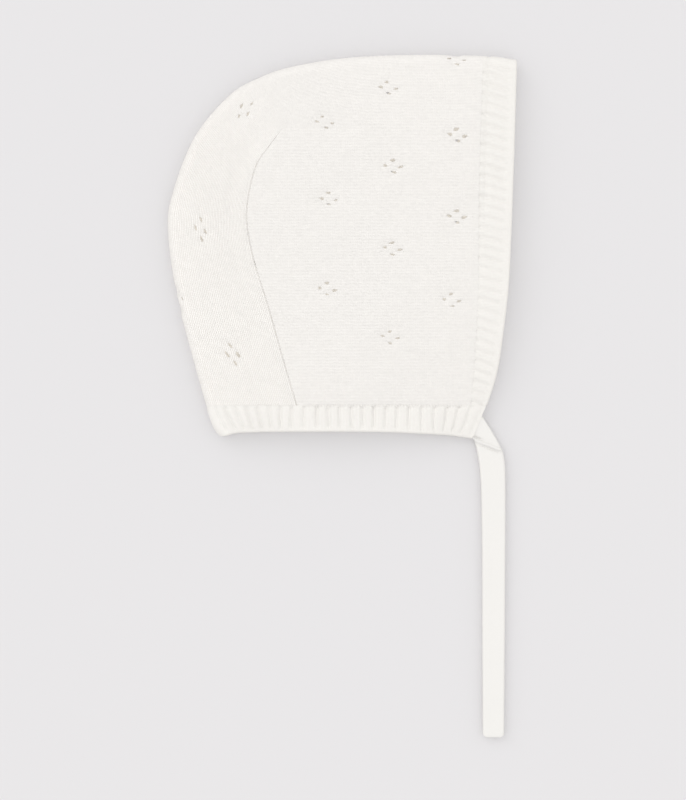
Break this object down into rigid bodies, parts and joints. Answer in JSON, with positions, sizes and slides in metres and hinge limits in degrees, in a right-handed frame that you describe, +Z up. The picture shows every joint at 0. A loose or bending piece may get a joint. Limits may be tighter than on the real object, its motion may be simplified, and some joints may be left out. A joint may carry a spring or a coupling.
{
  "type": "knit baby hat",
  "caption": "Fine-knit baby bonnet with eyelets, rib bands at face and neck and flat ties, folded on its centre line and lying on its side.",
  "frame": {"origin": "middle of the bounding box's footprint, on the surface the bonnet lies on", "axes": "+X towards the face opening, +Y towards the crown, +Z up from the surface, through the fold's two sides"},
  "size_m": [0.1567, 0.3063, 0.0126],
  "materials": {
    "stockinette": "fine off-white cotton stockinette with eyelets",
    "rib": "off-white cotton rib",
    "tie_knit": "off-white double-knit cotton, smooth"
  },
  "bodies": {
    "root": {"knit_body": "stockinette", "front_band": "rib", "neck_band": "rib", "tie_right": "tie_knit", "tie_left": "tie_knit"}
  },
  "joints": []
}
